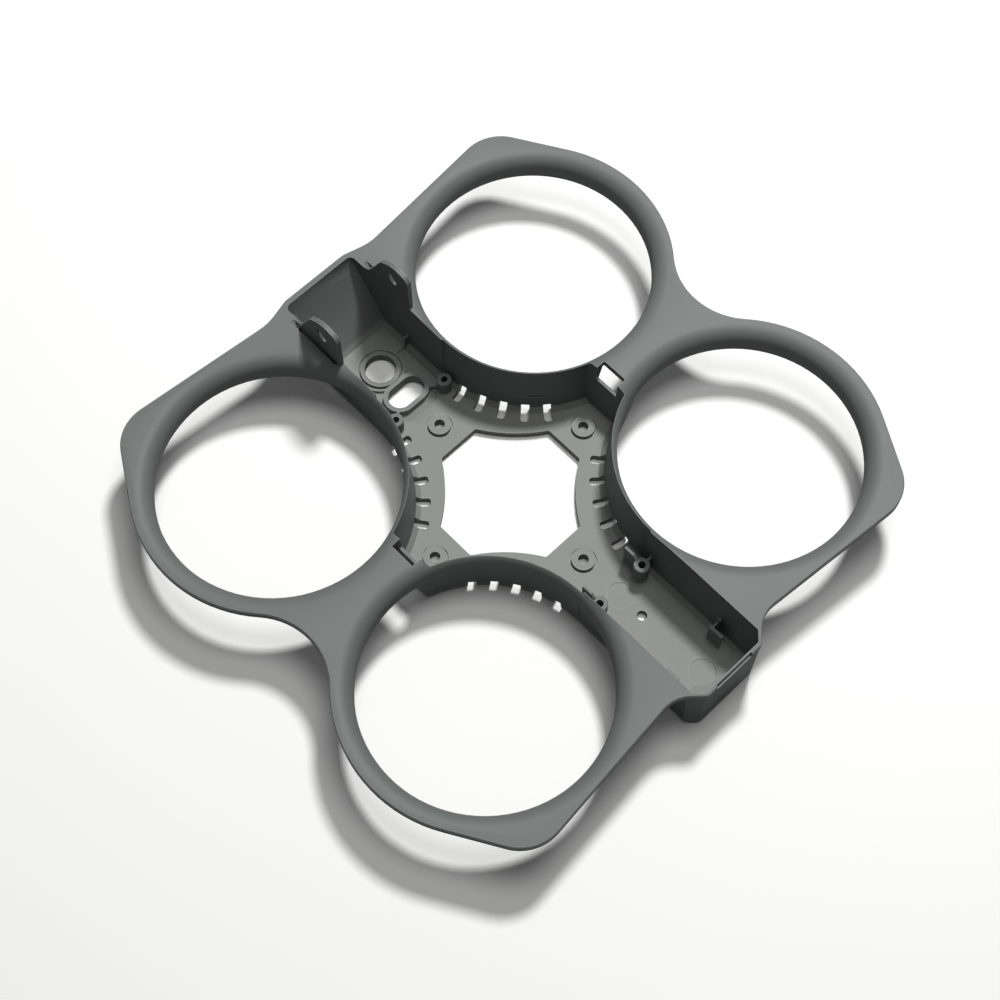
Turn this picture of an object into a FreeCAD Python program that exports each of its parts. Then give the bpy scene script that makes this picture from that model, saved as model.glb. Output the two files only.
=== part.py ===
import FreeCAD, Part
import math
import os

# One-piece moulded frame of a ducted micro quadcopter. Sizes are in millimetres.
# X points to the craft's right, Y forward, Z up.
# The origin lies midway between the four ducts, on the plane of the flight board's boss tops.

# Ducts
duct_span_x = 60.5
duct_span_y = 50.6
throat_radius = 21.2
bell_radius = 2.7
bell_steps = 4
lip_depth = 4.3
lip_bevel = 1.2
duct_wall = 1.0
duct_flare = 0.75
duct_foot = 0.9

# Skin
skin_height = 11.9
skin_thickness = 1.4
skin_edge_bevel = 0.22
ring_land = 1.05
waist_half_width = 45.5
flank_angle = 31.0
corner_radius = 8.0
nose_y = 50.0
nose_half_width = 6.8
nose_round = 3.0
nose_dip = (12.0, 48.6)
nose_dip_round = 10.0
brow_slope = 0.092
tail_y = 51.8
tail_half_width = 6.3
tail_round = 1.2
tail_dip = (10.3, 48.1)
tail_dip_round = 6.0

# Hull: tray, camera bay and the star-shaped well between the ducts
boss_height = 0.6
floor_thickness = 1.5
tray_half_width = 7.75
tray_draft = 0.55
tray_wall = 1.1
floor_chamfer = 0.85
tray_end_y = 51.05
tray_end_slope = ((46.8, 0.0), (49.9, 0.9), (50.7, 2.3))
tail_step_half_width = 4.1
tail_step_y = 51.35
tail_step_depth = 0.8
tail_groove_x = (-1.5, 9.5)
tail_groove_z = (0.7, 1.15)
tail_groove_depth = 0.3
hull_inset = 0.15
tray_corner = 1.5
bay_front_y = 48.9
bay_front_draft = 1.0
bay_front_depth = 3.1
bay_corner_round = 1.1
tray_corner_round = 0.4
nose_draft = 0.3
ramp_foot_y = 39.9
ramp_bevel_x = (6.45, 6.37)
ramp_bevel_rise = (1.0, 1.5)
well_end_x = 23.2
well_end_draft = 0.8
end_wall = 1.1
wing_tip_x = 26.1
wing_tip_draft = 1.7
wing_tip_round = 2.4
wing_knee_rise = 3.1
wing_knee_step = (0.6, 1.6)
sill_depth = 3.6
window_half_width = 2.5
window_end_x = 25.0
neck_half_width = 3.6

# Opening under the flight board and its four bosses
board_pattern = 25.5
boss_radius = 2.05
boss_groove = 0.3
boss_groove_depth = 0.3
board_hole_radius = 0.93
opening_half_x = 13.3
opening_half_y = 13.15
opening_flat_x = 4.15
opening_flat_y = 3.85
opening_corner_round = 0.6
opening_arc_radius = 28.4

# Vent slots along the foot of each duct
vent_count = 5
vent_first_angle = 192.5
vent_pitch = 9.9
vent_width = 1.5
vent_corner = 0.35
vent_reach = 3.3
vent_overlap = 0.6
vent_top = 1.5

# Ears that carry the camera
ear_thickness = 0.8
ear_front_y = 46.0
ear_back_y = 33.45
ear_root = 2.5
ear_outline = ((44.3, 0.15, 2.5), (40.35, 7.6, 1.5), (37.3, 9.55, 4.0), (33.45, 8.85, 1.8))
ear_slot_width = 0.48
ear_slot_y = (34.2, 44.1)
ear_pocket_x = (8.15, 9.05)
ear_pocket_y = (44.2, 46.2)
ear_pocket_depth = 1.2
ear_hole_centre = (37.7, 5.2)
ear_hole_length = 2.9
ear_hole_width = 1.4
ear_hole_tilt = 48.0

# Sensor seats in the front floor
sensor_y = 33.6
sensor_bore_radius = 2.85
sensor_ring_width = 0.8
sensor_groove_width = 0.35
sensor_collar_width = 0.4
oval_y = 26.7
oval_length = 7.4
oval_width = 4.4
oval_wall = 0.8
oval_height = 1.0
recess_y = (24.6, 34.2)
recess_half_width = 6.3
recess_depth = 0.45
recess_slope_y = (22.1, 23.6)
recess_slope_half_width = 4.0
recess_slope_corner = 1.2

# Screw posts, tabs and clip
front_post = (5.83, 22.94)
front_post_height = 3.3
front_post_radius = 1.34
front_post_hole = 0.63
front_link_length = 3.1
rear_post = (5.05, -26.7)
rear_post_height = 4.7
rear_post_radius = 1.42
rear_post_hole = 0.68
post_edge_bevel = 0.15
fin_reach = 0.9
fin_drop = 0.3
fin_thickness = 0.38
rear_tab_y = (-25.6, -24.7, -22.75)
rear_tab_heights = (4.9, 5.7)
rear_tab_thickness = 0.45
stop_fin_x = 6.2
stop_fin_y = 33.9
stop_fin_height = 3.6
stop_fin_thickness = 0.35
clip_x = 5.0
clip_y = (-45.1, -42.3)
clip_height = 4.8
clip_thickness = 0.5
clip_bar_drop = 0.7
clip_bar_thickness = 0.35
clip_post_x = 6.95
clip_post_rise = 0.4
clip_post_width = 0.6

# Small holes and moulding marks in the tray floor
tray_hole_y = -32.1
tray_hole_radius = 0.9
mark_radius = 2.4
mark_depth = 0.12
mark_places = (-27.0, -46.2)
wire_slit_angle = 227.0
wire_slit_length = 3.2
wire_slit_height = 0.5
wire_slit_depth = 8.0

clear = 5.0
floor_z = -boss_height
belly_z = floor_z - floor_thickness
join_z = skin_height - skin_edge_bevel
half_run = tail_y + clear
skin_underside_z = skin_height - skin_thickness
duct_x = duct_span_x / 2
duct_y = duct_span_y / 2
bell_outer_radius = throat_radius + bell_radius
ring_radius = bell_outer_radius + ring_land
wall_x = tray_half_width + 0.3
up = FreeCAD.Vector(0, 0, 1)


def point(x, y, z=0.0):
    return FreeCAD.Vector(x, y, z)


def rounded_wire(corners):
    """Closed wire through (x, y, radius) corners, each rounded by a tangent arc."""
    points = [point(x, y) for x, y, radius in corners]
    edges = []
    starts = []
    ends = []
    mids = []
    for index, corner in enumerate(corners):
        here = points[index]
        back = (points[index - 1] - here).normalize()
        ahead = (points[(index + 1) % len(points)] - here).normalize()
        radius = corner[2]
        half = math.acos(max(-1.0, min(1.0, back.dot(ahead)))) / 2
        reach = radius / math.tan(half)
        starts.append(here + back * reach)
        ends.append(here + ahead * reach)
        inward = (back + ahead).normalize()
        mids.append(here + inward * (radius / math.sin(half) - radius))
    for index in range(len(points)):
        if corners[index][2] > 0:
            edges.append(Part.Arc(starts[index], mids[index], ends[index]).toShape())
        following = starts[(index + 1) % len(points)]
        if (following - ends[index]).Length > 1e-4:
            edges.append(Part.makeLine(ends[index], following))
    return Part.Wire(Part.__sortEdges__(edges))


def prism(corners, low, high):
    """Solid between two heights over a rounded outline in plan."""
    face = Part.Face(rounded_wire(corners))
    face.translate(point(0, 0, low))
    return face.extrude(point(0, 0, high - low))


def slab(profile, half_length, along):
    """Solid from a profile in the XZ plane run along Y, or in the YZ plane run along X."""
    if along == "y":
        points = [point(u, -half_length, v) for u, v in profile]
        travel = point(0, 2 * half_length, 0)
    else:
        points = [point(-half_length, u, v) for u, v in profile]
        travel = point(2 * half_length, 0, 0)
    return Part.Face(Part.makePolygon(points + points[:1])).extrude(travel)


def box(x_range, y_range, z_range):
    size = [abs(pair[1] - pair[0]) for pair in (x_range, y_range, z_range)]
    return Part.makeBox(*size, point(min(x_range), min(y_range), min(z_range)))


def cylinder(radius, x, y, low, high):
    return Part.makeCylinder(radius, high - low, point(x, y, low), up)


def stadium(length, width, low, high):
    """Upright solid with two straight sides and round ends, centred on the origin."""
    inset = length / 2 - width / 2
    body = box((-inset, inset), (-width / 2, width / 2), (low, high))
    ends = [cylinder(width / 2, side * inset, 0, low, high) for side in (-1, 1)]
    return body.fuse(ends).removeSplitter()


def mirrored(shape, across_x=True):
    normal = point(1, 0, 0) if across_x else point(0, 1, 0)
    return shape.mirror(point(0, 0, 0), normal)


def both_sides(shape):
    return [shape, mirrored(shape)]


def four_ways(shape):
    pair = both_sides(shape)
    return pair + [mirrored(half, across_x=False) for half in pair]


def revolved(points):
    """Solid turned about the front right duct's axis from a closed outline in the XZ plane."""
    face = Part.Face(Part.makePolygon(points))
    face.translate(point(duct_x, duct_y, 0))
    return face.revolve(point(duct_x, duct_y, 0), up, 360)


def skin_corners(inset=0.0):
    """Right half of the outline from nose to tail, then the left half back."""
    radius = ring_radius - inset
    waist = waist_half_width - inset
    reach = waist - duct_x
    hollow = (reach**2 + duct_y**2 - radius**2) / (2 * (radius - reach))
    centre_to_hollow = math.atan2(-duct_y, waist + hollow - duct_x)
    flank = math.radians(flank_angle)

    def on_ring(distance, angle, sign):
        x = duct_x + distance * math.cos(angle)
        return (x, sign * (duct_y + distance * math.sin(angle)))

    half_sweep = (flank - centre_to_hollow) / 2
    middle = (flank + centre_to_hollow) / 2
    waist_corner_x = duct_x + (radius - duct_y * math.sin(-centre_to_hollow)) / math.cos(centre_to_hollow)

    def quarter(dip, sign):
        dip_x, dip_y = dip
        dip_y -= inset * math.sqrt(1 + brow_slope**2)
        # the brow line meets the flank line, which touches the ring at the flank angle
        level = dip_y - brow_slope * dip_x
        offset = radius + duct_x * math.cos(flank) + duct_y * math.sin(flank)
        corner_x = (offset - level * math.sin(flank)) / (math.cos(flank) + brow_slope * math.sin(flank))
        corner_y = level + brow_slope * corner_x
        bulge = on_ring(radius / math.cos(half_sweep), middle, sign)
        return [(corner_x, sign * corner_y, corner_radius - inset), (*bulge, radius)]

    front = [
        (nose_half_width, nose_y - inset, nose_round),
        (nose_dip[0], nose_dip[1] - inset, nose_dip_round),
    ] + quarter(nose_dip, 1)
    rear = [
        (tail_half_width, inset - tail_y, tail_round),
        (tail_dip[0], inset - tail_dip[1], tail_dip_round),
    ] + quarter(tail_dip, -1)
    right = front + [(waist_corner_x, 0.0, hollow)] + rear[::-1]
    left = [(-x, y, r) for x, y, r in reversed(right)]
    return right + left


def make_skin():
    plate = prism(skin_corners(), skin_underside_z, skin_height)
    top_edges = [edge for edge in plate.Edges if edge.BoundBox.ZMin > skin_height - 0.01]
    return plate.makeChamfer(skin_edge_bevel, top_edges)


def lip_body():
    """Outside of one duct below the skin: a short sleeve that widens into the skin."""
    outer = throat_radius + duct_wall
    low = skin_height - lip_depth
    return revolved([
        point(0, 0, low),
        point(outer, 0, low),
        point(outer, 0, skin_underside_z - lip_bevel),
        point(outer + lip_bevel, 0, skin_underside_z),
        point(0, 0, skin_underside_z),
        point(0, 0, low),
    ])


def duct_void():
    """Air way of one duct: bell mouth, throat and the slightly flared deep wall."""
    top = skin_height
    # the quarter-round mouth is drawn as a few even steps, each a cone
    mouth = []
    for step in range(bell_steps + 1):
        angle = math.pi / 2 * step / bell_steps
        radius = bell_outer_radius - bell_radius * math.sin(angle)
        mouth.append(point(radius, 0, top - bell_radius * (1 - math.cos(angle))))
    flared = throat_radius + duct_flare
    return revolved(mouth + [
        point(throat_radius, 0, top - lip_depth),
        point(flared, 0, belly_z + duct_foot),
        point(flared + duct_foot, 0, belly_z),
        point(flared + duct_foot, 0, belly_z - clear),
        point(0, 0, belly_z - clear),
        point(0, 0, top),
        point(bell_outer_radius, 0, top),
    ])


def duct_keep_out():
    """What the well leaves standing round one duct: its wall and a chamfered foot."""
    outer = throat_radius + duct_wall
    flared = outer + duct_flare
    top = skin_height + clear
    return revolved([
        point(0, 0, top),
        point(outer, 0, top),
        point(outer, 0, skin_height - lip_depth),
        point(flared, 0, floor_z + duct_foot),
        point(flared + duct_foot, 0, floor_z),
        point(flared + duct_foot, 0, floor_z - clear),
        point(0, 0, floor_z - clear),
        point(0, 0, top),
    ])


def ramp_line(offset):
    """Foot and head of the camera bay's sloping floor, moved outward by an offset."""
    foot = point(0, ramp_foot_y, floor_z)
    head = point(0, bay_front_y - bay_front_draft, skin_height - bay_front_depth)
    along = (head - foot).normalize()
    outward = point(0, along.z, -along.y) * offset
    return foot + outward, head + outward, along


def hull_outer():
    """Outside of the tray and bay, and of the star-shaped well between the ducts."""
    half = tray_half_width + tray_wall
    low_half = half - tray_draft
    cross = slab([
        (-half, join_z),
        (half, join_z),
        (low_half, belly_z + floor_chamfer),
        (low_half - floor_chamfer, belly_z),
        (floor_chamfer - low_half, belly_z),
        (-low_half, belly_z + floor_chamfer),
    ], half_run, "y")
    foot, head, along = ramp_line(tray_wall)
    belly_front = foot + along * ((belly_z - foot.z) / along.z)
    side = slab([
        (nose_y, join_z),
        (nose_y - nose_draft, head.z),
        (head.y, head.z),
        (belly_front.y, belly_z),
        (-tail_y, belly_z),
        (-tail_y, join_z),
    ], half, "x")
    spine = cross.common(side)
    shoulder_z = skin_height - lip_depth
    knee_z = belly_z + wing_knee_rise
    step_x, step_z = wing_knee_step
    knee_x = wing_tip_x - wing_tip_draft
    wings = slab([
        (-wing_tip_x, join_z),
        (wing_tip_x, join_z),
        (wing_tip_x, shoulder_z),
        (knee_x, knee_z),
        (knee_x - step_x, knee_z - step_z),
        (knee_x - wing_tip_round, belly_z),
        (wing_tip_round - knee_x, belly_z),
        (step_x - knee_x, knee_z - step_z),
        (-knee_x, knee_z),
        (-wing_tip_x, shoulder_z),
    ], duct_y, "y")
    outline = prism(skin_corners(hull_inset), belly_z - clear, skin_height)
    tip_gap = box((well_end_x - well_end_draft + end_wall, wing_tip_x + 1), (-neck_half_width, neck_half_width),
                  (belly_z - clear, skin_underside_z))
    hull = spine.fuse(wings.cut(both_sides(tip_gap))).common(outline)
    groove = box(tail_groove_x, (-tail_y, hull_inset + tail_groove_depth - tail_y), tail_groove_z)
    return hull.cut(groove)


def hull_inner():
    """Cavity of the tray, bay and well, open at the top."""
    half = tray_half_width
    low_half = half - tray_draft
    top = skin_height + clear
    cross = slab([
        (-half, top),
        (-half, skin_height),
        (-low_half, floor_z + floor_chamfer),
        (floor_chamfer - low_half, floor_z),
        (low_half - floor_chamfer, floor_z),
        (low_half, floor_z + floor_chamfer),
        (half, skin_height),
        (half, top),
    ], half_run, "y")
    foot, head, along = ramp_line(0)
    side = slab([
        (bay_front_y, top),
        (bay_front_y, skin_height),
        (head.y, head.z),
        (foot.y, foot.z),
        *[(-y, floor_z + rise) for y, rise in tray_end_slope],
        (-tray_end_y, skin_height),
        (-tray_end_y, top),
    ], half, "x")
    plan = prism([
        (half, bay_front_y, bay_corner_round),
        (half, tray_corner - tray_end_y, tray_corner_round),
        (half - tray_corner, -tray_end_y, tray_corner_round),
        (tray_corner - half, -tray_end_y, tray_corner_round),
        (-half, tray_corner - tray_end_y, tray_corner_round),
        (-half, bay_front_y, bay_corner_round),
    ], floor_z - clear, top)
    spine = cross.common(side).common(plan)
    foot_x = well_end_x - well_end_draft
    well = slab([
        (-well_end_x, top),
        (-well_end_x, skin_height),
        (-foot_x, floor_z),
        (foot_x, floor_z),
        (well_end_x, skin_height),
        (well_end_x, top),
    ], duct_y, "y")
    well = well.cut(four_ways(duct_keep_out()))
    return spine.fuse(well)


def ramp_bevel():
    """Sloping strip that fills the corner between the bay's ramp and its right wall."""
    foot, head, along = ramp_line(0)
    head = head + along * bay_front_draft
    ends = []
    for place, inner_x, rise in zip((foot, head), ramp_bevel_x, ramp_bevel_rise):
        corners = [
            point(inner_x, place.y, place.z),
            point(wall_x, place.y, place.z),
            point(wall_x, place.y, place.z + rise),
        ]
        ends.append(Part.makePolygon(corners + corners[:1]))
    return Part.makeLoft(ends, True, True)


def tail_step():
    """Shallow step along the top of the tray's rear wall."""
    sides = (-tail_step_half_width, tail_step_half_width)
    return box(sides, (-tail_y - clear, -tail_step_y), (skin_height - tail_step_depth, skin_height + clear))


def neck_window():
    """Cable window over the low end wall of the well, open through the skin."""
    sill_z = skin_height - sill_depth
    sides = (-window_half_width, window_half_width)
    return box((well_end_x - 2 * well_end_draft, window_end_x), sides, (sill_z, skin_height + clear))


def board_opening():
    """Large floor opening: four short flats joined by arcs that follow the ducts."""
    def quarter_arc(sx, sy):
        start = point(sx * opening_flat_x, sy * opening_half_y)
        end = point(sx * opening_half_x, sy * opening_flat_y)
        chord = end - start
        middle = (start + end) * 0.5
        toward = point(-sx * abs(chord.y), -sy * abs(chord.x)).normalize()
        sag = opening_arc_radius - math.sqrt(opening_arc_radius**2 - (chord.Length / 2) ** 2)
        return start, Part.Arc(start, middle + toward * sag, end).toShape(), end

    edges = []
    corners = {}
    for sx in (-1, 1):
        for sy in (-1, 1):
            start, arc, end = quarter_arc(sx, sy)
            corners[sx, sy] = (start, end)
            edges.append(arc)
    for side in (-1, 1):
        edges.append(Part.makeLine(corners[-1, side][0], corners[1, side][0]))
        edges.append(Part.makeLine(corners[side, -1][1], corners[side, 1][1]))
    wire = Part.Wire(Part.__sortEdges__(edges))
    face = Part.Face(wire)
    face.translate(point(0, 0, belly_z - clear))
    opening = face.extrude(point(0, 0, clear + 2 * floor_thickness))
    upright = [edge for edge in opening.Edges if edge.BoundBox.ZLength > clear]
    return opening.makeFillet(opening_corner_round, upright)


def board_hole_places():
    reach = board_pattern / math.sqrt(2)
    return [(reach, 0), (0, reach), (-reach, 0), (0, -reach)]


def vents():
    """Radial slots through the floor and the foot of the front right duct's wall."""
    half = vent_width / 2
    near = throat_radius - vent_overlap
    far = throat_radius + duct_wall + vent_reach
    outline = [
        (far - vent_corner, half, 0.0),
        (near, half, 0.0),
        (near, -half, 0.0),
        (far - vent_corner, -half, 0.0),
        (far, vent_corner - half, 0.0),
        (far, half - vent_corner, 0.0),
    ]
    slots = []
    for index in range(vent_count):
        slot = prism(outline, belly_z - clear, floor_z + vent_top)
        slot.rotate(point(0, 0), up, vent_first_angle + index * vent_pitch)
        slot.translate(point(duct_x, duct_y))
        slots.append(slot)
    return slots


def on_ear_plane(shape, y, z):
    """Stand a shape drawn in plan on the right ear's inner face, at a place in Y and Z."""
    turn = FreeCAD.Rotation(point(0, 1, 0), up, point(1, 0, 0), "XYZ")
    stood = shape.copy()
    stood.Placement = FreeCAD.Placement(point(tray_half_width, y, z), turn).multiply(shape.Placement)
    return stood


def ear():
    """Right camera ear: a rounded lobe that grows out of the bay's side wall."""
    wire = rounded_wire([
        (ear_front_y, -ear_root, 0.0),
        (ear_front_y, 0.0, 0.0),
        *ear_outline,
        (ear_back_y, -ear_root, 0.0),
    ])
    lobe = Part.Face(wire).extrude(point(0, 0, ear_thickness))
    hole = stadium(ear_hole_length, ear_hole_width, -clear, clear)
    hole.rotate(point(0, 0), up, ear_hole_tilt)
    hole = on_ear_plane(hole, ear_hole_centre[0], skin_height + ear_hole_centre[1])
    return on_ear_plane(lobe, 0, skin_height).cut(hole)


def ear_slot():
    """Narrow slot through the skin beside the ear."""
    low_y, high_y = ear_slot_y
    slot = stadium(high_y - low_y, ear_slot_width, skin_height - lip_depth, skin_height + clear)
    slot.rotate(point(0, 0), up, 90)
    slot.translate(point(tray_half_width + ear_thickness + ear_slot_width / 2, (low_y + high_y) / 2))
    return slot


def ear_pocket():
    """Sloping hollow in the skin before the ear's foot."""
    low_y, high_y = ear_pocket_y
    width = ear_pocket_x[1] - ear_pocket_x[0]
    pocket = slab([
        (high_y, skin_height),
        (low_y, skin_height - ear_pocket_depth),
        (low_y, skin_height + clear),
        (high_y, skin_height + clear),
    ], width / 2, "x")
    pocket.translate(point(ear_pocket_x[0] + width / 2, 0))
    return pocket


def sensor_seats():
    """Round seat and oval seat: what is added, then what is cut."""
    ring_outer = sensor_bore_radius + sensor_ring_width
    groove_outer = ring_outer + sensor_groove_width
    collar = groove_outer + sensor_collar_width
    added = [
        cylinder(collar, 0, sensor_y, belly_z, floor_z + 0.1),
        cylinder(ring_outer, 0, sensor_y, belly_z, floor_z + 0.45),
    ]
    oval = stadium(oval_length + 2 * oval_wall, oval_width + 2 * oval_wall, belly_z, floor_z + oval_height)
    oval.translate(point(0, oval_y))
    added.append(oval)
    groove = cylinder(groove_outer, 0, sensor_y, floor_z - 0.35, floor_z + 1)
    groove = groove.cut(cylinder(ring_outer, 0, sensor_y, floor_z - 1, floor_z + 1))
    slot = stadium(oval_length, oval_width, belly_z - clear, floor_z + clear)
    slot.translate(point(0, oval_y))
    cuts = [groove, slot, cylinder(sensor_bore_radius, 0, sensor_y, belly_z - clear, floor_z + clear)]
    return added, cuts


def floor_recess():
    """Shallow recess round the sensor seats, with a sloping tongue at its rear."""
    sides = (-recess_half_width, recess_half_width)
    main = box(sides, recess_y, (floor_z - recess_depth, floor_z + 0.5))
    slope = slab([
        (recess_slope_y[0], floor_z),
        (recess_slope_y[1], floor_z - recess_depth),
        (recess_y[0] + 1, floor_z - recess_depth),
        (recess_y[0] + 1, floor_z + 0.5),
        (recess_slope_y[0], floor_z + 0.5),
    ], recess_slope_half_width, "x")
    half = recess_slope_half_width
    tongue = prism([
        (half, recess_y[0] + 1, 0.0),
        (half, recess_slope_y[0], recess_slope_corner),
        (-half, recess_slope_y[0], recess_slope_corner),
        (-half, recess_y[0] + 1, 0.0),
    ], belly_z, floor_z + 1)
    return main.fuse(slope.common(tongue))


def post(place, radius, height):
    stem = cylinder(radius, place[0], place[1], belly_z, floor_z + height)
    rim = [edge for edge in stem.Edges if edge.BoundBox.ZMin > floor_z + height - 0.01]
    return stem.makeChamfer(post_edge_bevel, rim)


def front_link():
    """Low fin from the front post to the near end of the oval seat."""
    x, y = front_post
    half = fin_thickness / 2
    fin = box((0, front_link_length), (-half, half), (belly_z, floor_z + oval_height))
    end_x = (oval_length - oval_width) / 2
    fin.rotate(point(0, 0), up, math.degrees(math.atan2(oval_y - y, end_x - x)))
    fin.translate(point(x, y))
    return fin


def rear_fins():
    """Fin from the rear post to the wall's side, and the tall tab before the post."""
    x, y = rear_post
    half = fin_thickness / 2
    side = box((x, x + rear_post_radius + fin_reach), (y - half, y + half),
               (belly_z, floor_z + rear_post_height - fin_drop))
    back_y, knee_y, front_y = rear_tab_y
    low, high = rear_tab_heights
    tab = slab([
        (back_y, belly_z),
        (back_y, floor_z + low),
        (knee_y, floor_z + high),
        (front_y, floor_z + high),
        (front_y, belly_z),
    ], rear_tab_thickness / 2, "x")
    tab.translate(point(x, 0))
    return [side, tab]


def wire_clip():
    """Upright plate, a thin bar to the wall and a small square stud on the bar."""
    rear_y, front_y = clip_y
    top = floor_z + clip_height
    middle_y = front_y - clip_post_width / 2
    half = clip_bar_thickness / 2
    return [
        box((clip_x, clip_x + clip_thickness), clip_y, (belly_z, top)),
        box((clip_x, wall_x), (middle_y - half, middle_y + half), (belly_z, top - clip_bar_drop)),
        box((clip_post_x, wall_x), (front_y - clip_post_width, front_y), (belly_z, top + clip_post_rise)),
    ]


def fittings():
    """Posts, fins, tabs, stops and wire clips that stand on the floor."""
    half = stop_fin_thickness / 2
    right = [
        post(front_post, front_post_radius, front_post_height),
        front_link(),
        box((stop_fin_x, wall_x), (stop_fin_y - half, stop_fin_y + half), (belly_z, floor_z + stop_fin_height)),
        post(rear_post, rear_post_radius, rear_post_height),
    ]
    added = []
    for shape in right + rear_fins() + wire_clip():
        added += both_sides(shape)
    return added


def post_holes():
    holes = []
    for place, radius, height in (
        (front_post, front_post_hole, front_post_height),
        (rear_post, rear_post_hole, rear_post_height),
    ):
        holes += both_sides(cylinder(radius, place[0], place[1], floor_z, floor_z + height + 1))
    return holes


def boss_grooves():
    grooves = []
    for x, y in board_hole_places():
        outer = cylinder(boss_radius + boss_groove, x, y, floor_z - boss_groove_depth, floor_z + 0.1)
        grooves.append(outer.cut(cylinder(boss_radius, x, y, belly_z, floor_z + 1)))
    return grooves


def wire_slit():
    reach = throat_radius + duct_wall / 2
    slit = box((reach - 2, reach + 2), (-wire_slit_length / 2, wire_slit_length / 2),
               (skin_height - wire_slit_depth - wire_slit_height, skin_height - wire_slit_depth))
    slit.rotate(point(0, 0), up, wire_slit_angle)
    slit.translate(point(duct_x, duct_y))
    return slit


def tray_marks():
    cuts = [cylinder(tray_hole_radius, 0, tray_hole_y, belly_z - 1, floor_z + 1)]
    for y in mark_places:
        cuts.append(cylinder(mark_radius, 0, y, floor_z - mark_depth, floor_z + 1))
    return cuts


def make_frame():
    frame = make_skin().fuse([hull_outer()] + four_ways(lip_body()))
    frame = frame.cut(four_ways(duct_void()))
    frame = frame.cut([hull_inner(), tail_step(), floor_recess()] + both_sides(neck_window()))
    seats, seat_cuts = sensor_seats()
    bosses = [cylinder(boss_radius, x, y, belly_z, 0.0) for x, y in board_hole_places()]
    frame = frame.cut(boss_grooves())
    frame = frame.fuse(seats + bosses + fittings() + both_sides(ear()) + both_sides(ramp_bevel()))
    openings = [board_opening()] + seat_cuts + post_holes() + tray_marks() + [wire_slit()]
    openings += both_sides(ear_slot()) + both_sides(ear_pocket())
    for vent in vents():
        openings += four_ways(vent)
    for x, y in board_hole_places():
        openings.append(cylinder(board_hole_radius, x, y, belly_z - 1, 1))
    return frame.cut(openings).removeSplitter()


frame = make_frame()
solids = frame.Solids
print("solids", len(solids), "valid", frame.isValid(), "volume", round(frame.Volume, 1))
os.makedirs("parts", exist_ok=True)
frame.exportStep("parts/frame.step")
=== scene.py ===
import math

import bmesh
import bpy
from mathutils import Matrix, Vector


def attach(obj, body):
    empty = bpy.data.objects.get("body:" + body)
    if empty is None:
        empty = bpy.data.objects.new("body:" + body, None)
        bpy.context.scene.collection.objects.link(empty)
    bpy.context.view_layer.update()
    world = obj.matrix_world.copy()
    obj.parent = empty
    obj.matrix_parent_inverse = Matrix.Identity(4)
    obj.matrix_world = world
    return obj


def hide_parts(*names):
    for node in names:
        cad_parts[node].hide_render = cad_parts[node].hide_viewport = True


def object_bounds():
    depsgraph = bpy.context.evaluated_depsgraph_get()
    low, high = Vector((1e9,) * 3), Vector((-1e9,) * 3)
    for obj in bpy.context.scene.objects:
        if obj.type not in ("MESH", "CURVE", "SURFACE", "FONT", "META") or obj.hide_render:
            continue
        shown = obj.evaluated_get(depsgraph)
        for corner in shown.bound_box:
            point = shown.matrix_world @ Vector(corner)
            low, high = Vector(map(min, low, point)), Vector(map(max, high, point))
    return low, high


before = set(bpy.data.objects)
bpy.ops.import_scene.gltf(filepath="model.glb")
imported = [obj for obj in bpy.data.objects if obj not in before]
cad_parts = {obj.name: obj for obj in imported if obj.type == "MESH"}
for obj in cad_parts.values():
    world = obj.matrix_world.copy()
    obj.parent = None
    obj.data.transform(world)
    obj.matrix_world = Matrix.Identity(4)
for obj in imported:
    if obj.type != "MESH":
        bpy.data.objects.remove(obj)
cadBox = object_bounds()
mm = 0.001

# the camera stands where the photograph was taken from and looks at the plane of the ducts' top
cameraSetup = {
    "azimuthDeg": -44.11,
    "elevationDeg": 65.54,
    "rollDeg": 0.137,
    "distance": 307.35 * mm,
    "target": (-6.34 * mm, -3.95 * mm, 11.9 * mm),
    "lens": 66.23,
    "sensor": 36.0,
    "clipStart": 0.01,
    "clipEnd": 10.0,
}

# the key lamp is near, so that its shadows spread apart as they do in the photograph
lightSetup = {
    "key": {"towards": (0.46, 0.185, 1.0), "distance": 0.60, "size": 0.09, "watts": 2.85},
    "softbox": {"towards": (0.10, -0.02, 1.0), "distance": 0.64, "size": 0.26, "watts": 1.0},
    "skyColour": (1.0, 1.0, 1.0, 1.0),
    "skyStrength": 0.07,
}

paperSetup = {
    "halfWidth": 1.5,
    "seenColour": (1.0, 1.0, 0.99, 1.0),
    "bounceColour": (0.36, 0.36, 0.36, 1.0),
    "glow": 0.03,
    "roughness": 0.9,
    "specularLevel": 0.1,
}

# the solid's facets are merged, and its corners get the small round of a real mould
shellShape = {
    "mergeDistance": 0.001 * mm,
    "flatAngleDeg": 0.6,
    "smoothAngleDeg": 29.0,
    "edgeRound": 0.09 * mm,
    "edgeSteps": 2,
}

shellFinish = {
    "colour": (0.134, 0.151, 0.146, 1.0),
    "paleColour": (0.158, 0.174, 0.169, 1.0),
    # painted light: a paler colour painted on the floors, where the key light falls on them
    "paintedLitFloorColour": (0.225, 0.233, 0.222, 1.0),
    # painted highlight: a paler colour painted along the edges
    "paintedEdgeHighlightColour": (0.34, 0.36, 0.35, 1.0),
    "specularLevel": 0.4,
    "floorTop": 0.2 * mm,
    "floorFade": 0.4 * mm,
    "roughness": 0.56,
    "roughnessSpread": 0.08,
    "grainSize": 0.16 * mm,
    "grainDepth": 0.006 * mm,
    "grainDetail": 2.0,
    "grainStrength": 1.0,
    "cloudSize": 9.0 * mm,
    "cloudDetail": 3.0,
    "edgeReach": 0.16 * mm,
    "edgeSamples": 6,
    "edgeBegins": 0.99,
    "edgeFull": 0.85,
}


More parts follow.
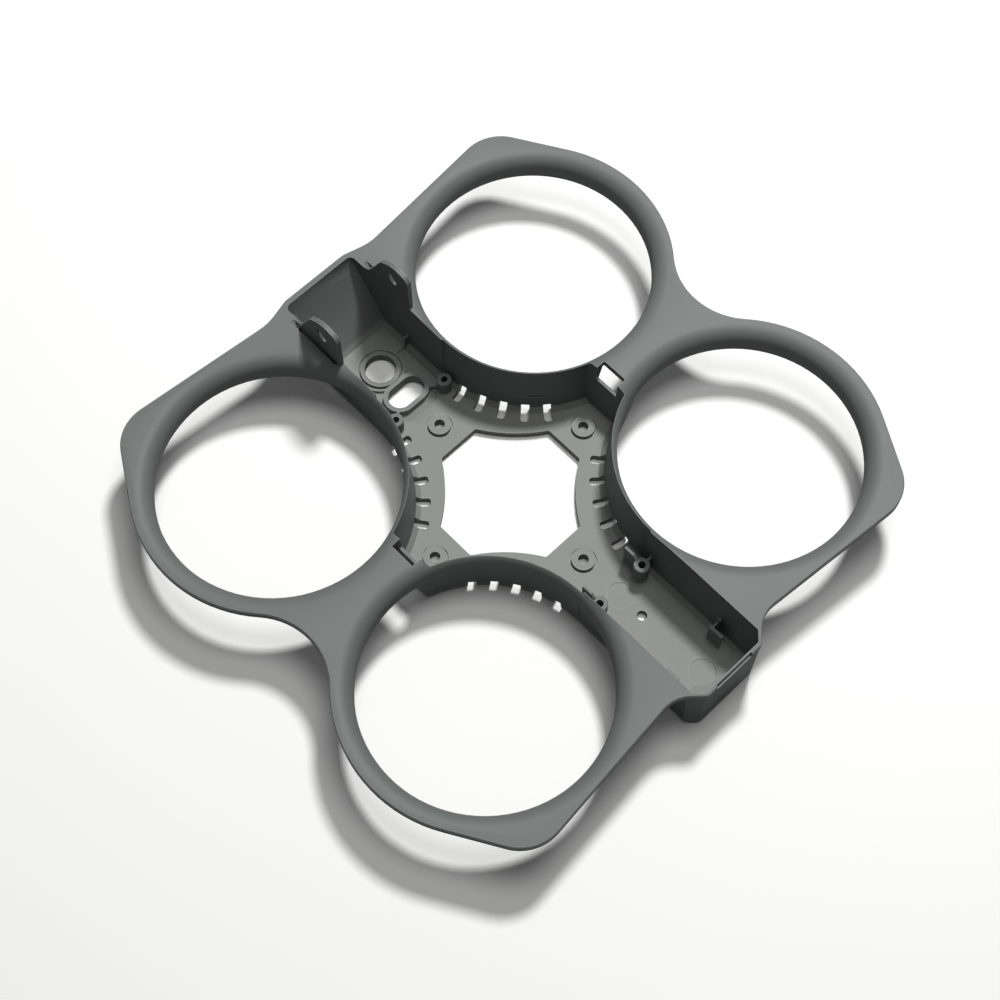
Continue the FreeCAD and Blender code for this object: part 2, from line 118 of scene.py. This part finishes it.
def makeCamera(setup):
    data = bpy.data.cameras.new("camera")
    data.lens = setup["lens"]
    data.sensor_width = setup["sensor"]
    data.clip_start = setup["clipStart"]
    data.clip_end = setup["clipEnd"]
    camera = bpy.data.objects.new("camera", data)
    bpy.context.scene.collection.objects.link(camera)
    azimuth = math.radians(setup["azimuthDeg"])
    elevation = math.radians(setup["elevationDeg"])
    back = Vector((
        math.sin(azimuth) * math.cos(elevation),
        -math.cos(azimuth) * math.cos(elevation),
        math.sin(elevation),
    ))
    turn = (-back).to_track_quat("-Z", "Y").to_matrix().to_4x4()
    roll = Matrix.Rotation(math.radians(setup["rollDeg"]), 4, "Z")
    place = Vector(setup["target"]) + back * setup["distance"]
    camera.matrix_world = Matrix.Translation(place) @ turn @ roll
    bpy.context.scene.camera = camera


def makeLamp(name, setup):
    data = bpy.data.lights.new(name, "AREA")
    data.shape = "DISK"
    data.size = setup["size"]
    data.energy = setup["watts"]
    lamp = bpy.data.objects.new(name, data)
    bpy.context.scene.collection.objects.link(lamp)
    way = Vector(setup["towards"]).normalized()
    turn = (-way).to_track_quat("-Z", "Y").to_matrix().to_4x4()
    lamp.matrix_world = Matrix.Translation(way * setup["distance"]) @ turn


def makeSky(setup):
    sky = bpy.data.worlds.new("studio")
    sky.use_nodes = True
    background = sky.node_tree.nodes["Background"]
    background.inputs["Color"].default_value = setup["skyColour"]
    background.inputs["Strength"].default_value = setup["skyStrength"]
    bpy.context.scene.world = sky


def makePaper(setup, height):
    half = setup["halfWidth"]
    corners = [
        (-half, -half, height),
        (half, -half, height),
        (half, half, height),
        (-half, half, height),
    ]
    mesh = bpy.data.meshes.new("paper")
    mesh.from_pydata(corners, [], [(0, 1, 2, 3)])
    paper = bpy.data.objects.new("paper", mesh)
    bpy.context.scene.collection.objects.link(paper)
    material = bpy.data.materials.new("white paper")
    material.use_nodes = True
    tree = material.node_tree
    shader = tree.nodes["Principled BSDF"]
    shader.inputs["Roughness"].default_value = setup["roughness"]
    shader.inputs["Specular IOR Level"].default_value = setup["specularLevel"]
    # the camera sees white paper, and the part gets a grey sheet's weaker bounce from below
    rays = tree.nodes.new("ShaderNodeLightPath")
    seen = tree.nodes.new("ShaderNodeMix")
    seen.data_type = "RGBA"
    seen.inputs["A"].default_value = setup["bounceColour"]
    seen.inputs["B"].default_value = setup["seenColour"]
    tree.links.new(rays.outputs["Is Camera Ray"], seen.inputs["Factor"])
    tree.links.new(seen.outputs["Result"], shader.inputs["Base Color"])
    # and a faint glow keeps the paper's near end white for the camera
    glow = tree.nodes.new("ShaderNodeMapRange")
    glow.inputs["To Max"].default_value = setup["glow"]
    tree.links.new(rays.outputs["Is Camera Ray"], glow.inputs["Value"])
    shader.inputs["Emission Color"].default_value = setup["seenColour"]
    tree.links.new(glow.outputs["Result"], shader.inputs["Emission Strength"])
    mesh.materials.append(material)


def makeShell(solid, shape):
    work = bmesh.new()
    work.from_mesh(solid.data)
    bmesh.ops.remove_doubles(work, verts=work.verts, dist=shape["mergeDistance"])
    bmesh.ops.dissolve_degenerate(work, dist=shape["mergeDistance"], edges=work.edges)
    bmesh.ops.dissolve_limit(
        work,
        angle_limit=math.radians(shape["flatAngleDeg"]),
        use_dissolve_boundaries=False,
        verts=work.verts,
        edges=work.edges,
        delimit={"NORMAL"},
    )
    limit = math.radians(shape["smoothAngleDeg"])
    for face in work.faces:
        face.smooth = True
    for edge in work.edges:
        edge.smooth = edge.calc_face_angle(0.0) < limit
    mesh = bpy.data.meshes.new("shell")
    work.to_mesh(mesh)
    work.free()
    shell = bpy.data.objects.new("shell", mesh)
    bpy.context.scene.collection.objects.link(shell)

    rounding = shell.modifiers.new("mould rounding", "BEVEL")
    rounding.width = shape["edgeRound"]
    rounding.segments = shape["edgeSteps"]
    rounding.limit_method = "ANGLE"
    rounding.angle_limit = limit
    rounding.use_clamp_overlap = True
    rounding.harden_normals = True
    return shell


def makeShellMaterial(finish):
    material = bpy.data.materials.new("matte moulded shell")
    material.use_nodes = True
    tree = material.node_tree
    shader = tree.nodes["Principled BSDF"]
    link = tree.links.new
    place = tree.nodes.new("ShaderNodeTexCoord").outputs["Object"]

    cloud = tree.nodes.new("ShaderNodeTexNoise")
    cloud.inputs["Scale"].default_value = 1 / finish["cloudSize"]
    cloud.inputs["Detail"].default_value = finish["cloudDetail"]
    link(place, cloud.inputs["Vector"])
    grain = tree.nodes.new("ShaderNodeTexNoise")
    grain.inputs["Scale"].default_value = 1 / finish["grainSize"]
    grain.inputs["Detail"].default_value = finish["grainDetail"]
    link(place, grain.inputs["Vector"])

    plain = tree.nodes.new("ShaderNodeMix")
    plain.data_type = "RGBA"
    plain.inputs["A"].default_value = finish["colour"]
    plain.inputs["B"].default_value = finish["paleColour"]
    link(cloud.outputs["Fac"], plain.inputs["Factor"])

    # painted light: the floor of the tray and the well is painted paler, standing in for the
    # key light that falls on it below floorTop
    axes = tree.nodes.new("ShaderNodeSeparateXYZ")
    link(place, axes.inputs["Vector"])
    low = tree.nodes.new("ShaderNodeMapRange")
    low.inputs["From Min"].default_value = finish["floorTop"] + finish["floorFade"]
    low.inputs["From Max"].default_value = finish["floorTop"]
    link(axes.outputs["Z"], low.inputs["Value"])
    paintedLitFloor = tree.nodes.new("ShaderNodeMix")
    paintedLitFloor.data_type = "RGBA"
    paintedLitFloor.inputs["B"].default_value = finish["paintedLitFloorColour"]
    link(low.outputs["Result"], paintedLitFloor.inputs["Factor"])
    link(plain.outputs["Result"], paintedLitFloor.inputs["A"])

    # painted highlight: the edges are painted paler, as thin light lines where the light
    # catches them
    rounding = tree.nodes.new("ShaderNodeBevel")
    rounding.samples = finish["edgeSamples"]
    rounding.inputs["Radius"].default_value = finish["edgeReach"]
    geometry = tree.nodes.new("ShaderNodeNewGeometry")
    turned = tree.nodes.new("ShaderNodeVectorMath")
    turned.operation = "DOT_PRODUCT"
    link(rounding.outputs["Normal"], turned.inputs[0])
    link(geometry.outputs["Normal"], turned.inputs[1])
    edge = tree.nodes.new("ShaderNodeMapRange")
    edge.inputs["From Min"].default_value = finish["edgeBegins"]
    edge.inputs["From Max"].default_value = finish["edgeFull"]
    link(turned.outputs["Value"], edge.inputs["Value"])
    edgeHighlight = tree.nodes.new("ShaderNodeMix")
    edgeHighlight.data_type = "RGBA"
    edgeHighlight.inputs["B"].default_value = finish["paintedEdgeHighlightColour"]
    link(edge.outputs["Result"], edgeHighlight.inputs["Factor"])
    link(paintedLitFloor.outputs["Result"], edgeHighlight.inputs["A"])
    link(edgeHighlight.outputs["Result"], shader.inputs["Base Color"])

    halfSpread = finish["roughnessSpread"] / 2
    gloss = tree.nodes.new("ShaderNodeMapRange")
    gloss.inputs["To Min"].default_value = finish["roughness"] - halfSpread
    gloss.inputs["To Max"].default_value = finish["roughness"] + halfSpread
    link(cloud.outputs["Fac"], gloss.inputs["Value"])
    link(gloss.outputs["Result"], shader.inputs["Roughness"])

    shader.inputs["Specular IOR Level"].default_value = finish["specularLevel"]
    bump = tree.nodes.new("ShaderNodeBump")
    bump.inputs["Strength"].default_value = finish["grainStrength"]
    bump.inputs["Distance"].default_value = finish["grainDepth"]
    link(grain.outputs["Fac"], bump.inputs["Height"])
    link(bump.outputs["Normal"], shader.inputs["Normal"])
    return material


makeCamera(cameraSetup)
makeLamp("key", lightSetup["key"])
makeLamp("softbox", lightSetup["softbox"])
makeSky(lightSetup)
makePaper(paperSetup, cadBox[0].z)
bpy.context.scene.view_settings.view_transform = "Standard"
print("camera, lamps and paper stand")

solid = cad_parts["frame"]
shell = makeShell(solid, shellShape)
shell.data.materials.append(makeShellMaterial(shellFinish))
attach(shell, "root")
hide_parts("frame")
print("shell rounded and finished:", len(shell.data.polygons), "faces")
